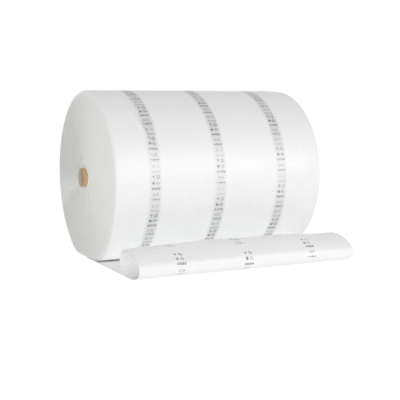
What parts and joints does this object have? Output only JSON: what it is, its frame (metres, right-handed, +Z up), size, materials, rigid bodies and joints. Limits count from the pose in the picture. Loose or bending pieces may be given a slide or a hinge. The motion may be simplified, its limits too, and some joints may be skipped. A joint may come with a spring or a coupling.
{
  "type": "bubble wrap roll",
  "caption": "Wide roll of bubble cushioning film on a kraft tube, lying on its side, with its free end run out flat and curled back in a loose scroll.",
  "frame": {"origin": "on the floor under the roll's axis, at mid-width, on the flat spot that the roll rests on", "axes": "+X along the tube's axis, +Z up, so the film's free end lies towards -Y"},
  "size_m": [1.036, 1.0277, 0.748],
  "materials": {
    "kraft_board": "spiral-wound brown kraft board, matte",
    "bubble_film": "milky polyethylene bubble film, soft sheen, three printed grey strips"
  },
  "bodies": {
    "root": {"core_tube": "kraft_board", "bubble_film": "bubble_film"}
  },
  "joints": []
}
